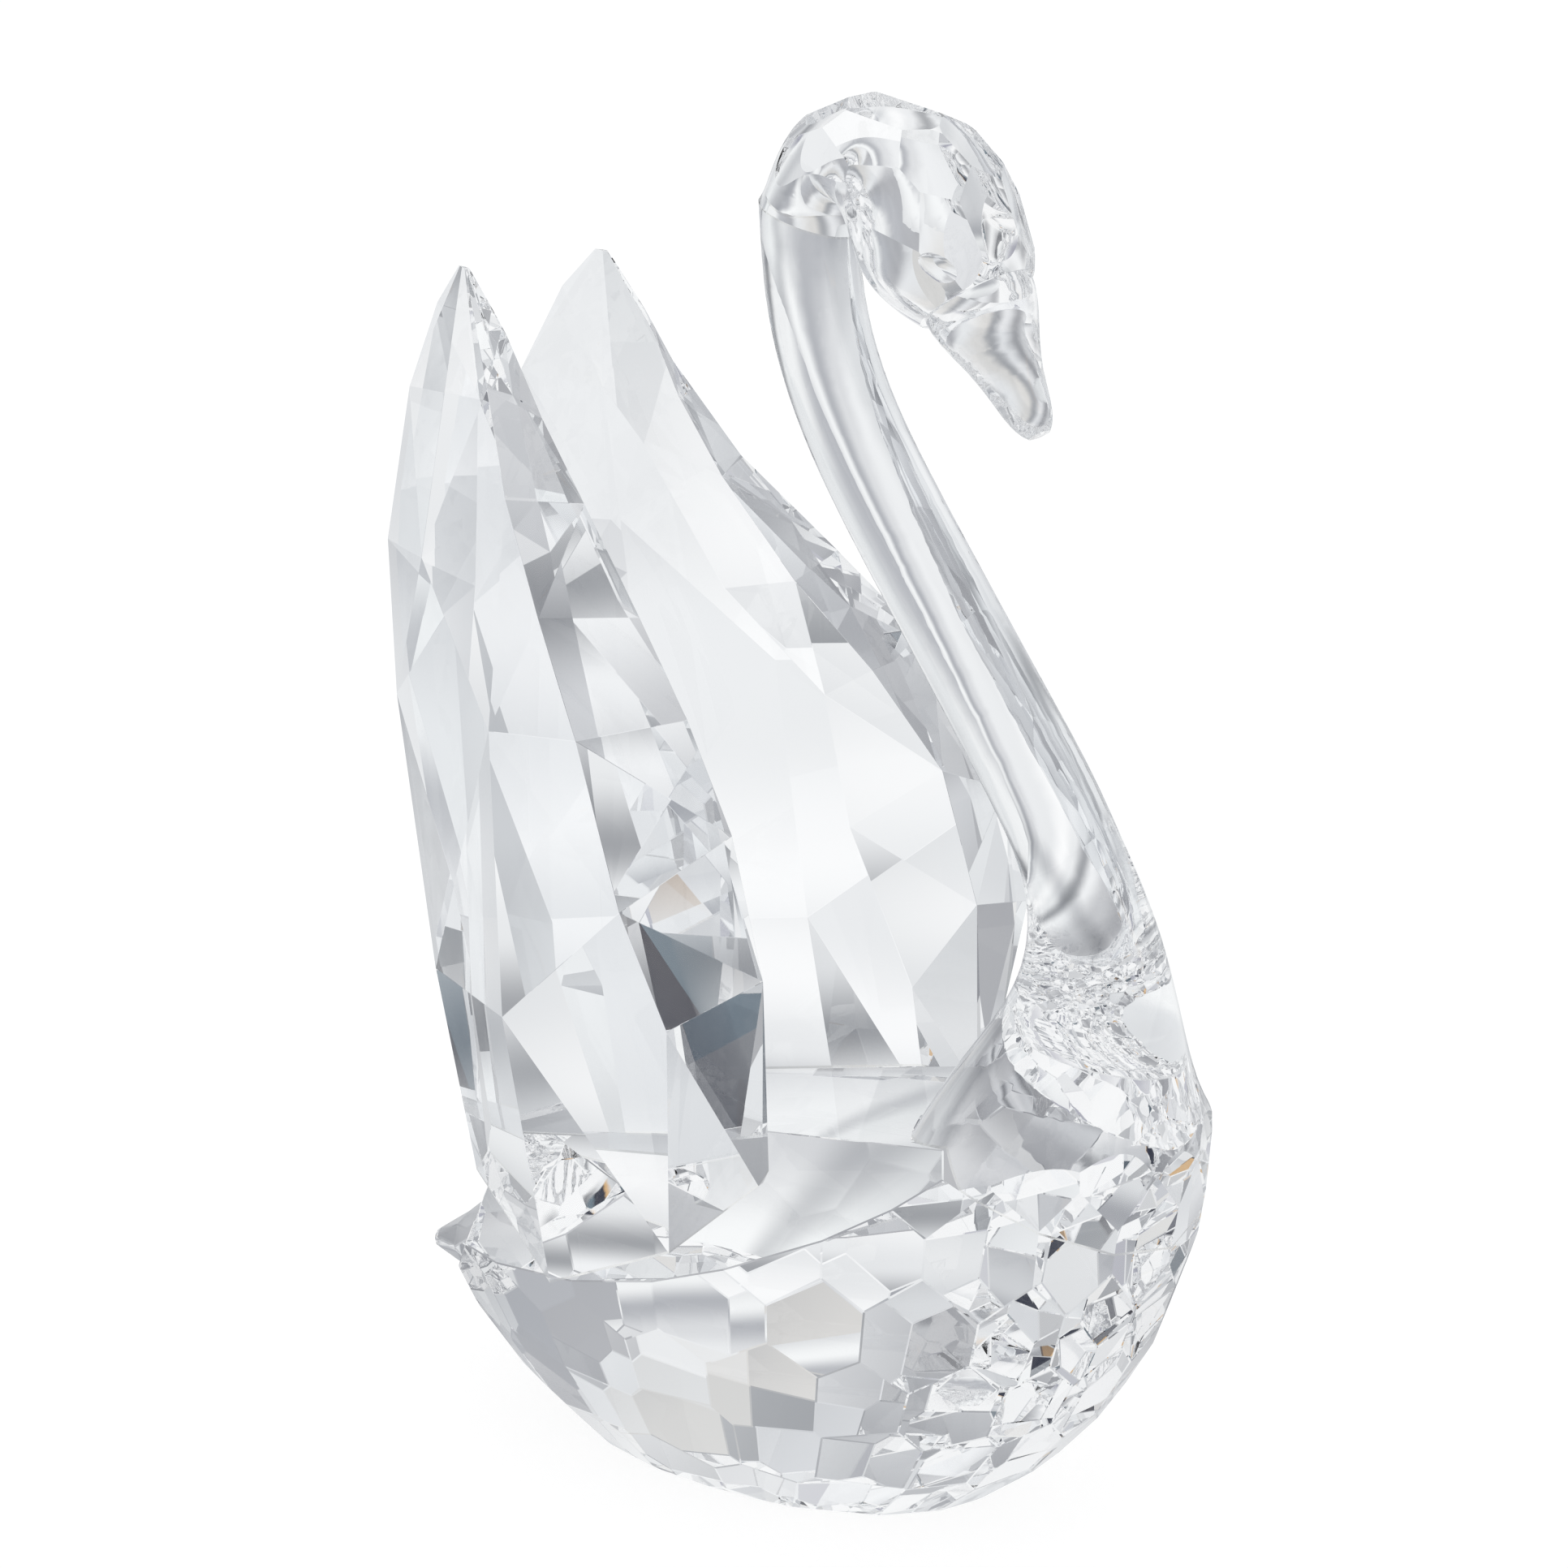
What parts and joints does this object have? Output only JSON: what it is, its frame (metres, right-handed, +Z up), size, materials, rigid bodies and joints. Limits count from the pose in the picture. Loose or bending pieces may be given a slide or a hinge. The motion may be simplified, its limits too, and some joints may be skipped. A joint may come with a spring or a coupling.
{
  "type": "crystal glass figurine",
  "caption": "Faceted clear crystal swan with upright wings, a slender curved neck and a flat rest face, for standing on a shelf or table.",
  "frame": {"origin": "centre of the flat rest face under the body", "axes": "+X forward towards the beak, +Y to the swan's left, +Z up from the rest face"},
  "size_m": [0.0394, 0.0248, 0.0561],
  "materials": {
    "cut_crystal": "clear, cut and polished",
    "cured_adhesive": "clear, cured in the bond line"
  },
  "bodies": {
    "root": {"body": "cut_crystal", "wing_left": "cut_crystal", "wing_right": "cut_crystal", "neck": "cut_crystal", "head": "cut_crystal", "tail": "cut_crystal", "bond_wing_left": "cured_adhesive", "bond_wing_right": "cured_adhesive", "bond_neck": "cured_adhesive", "bond_head": "cured_adhesive", "bond_tail": "cured_adhesive"}
  },
  "joints": []
}
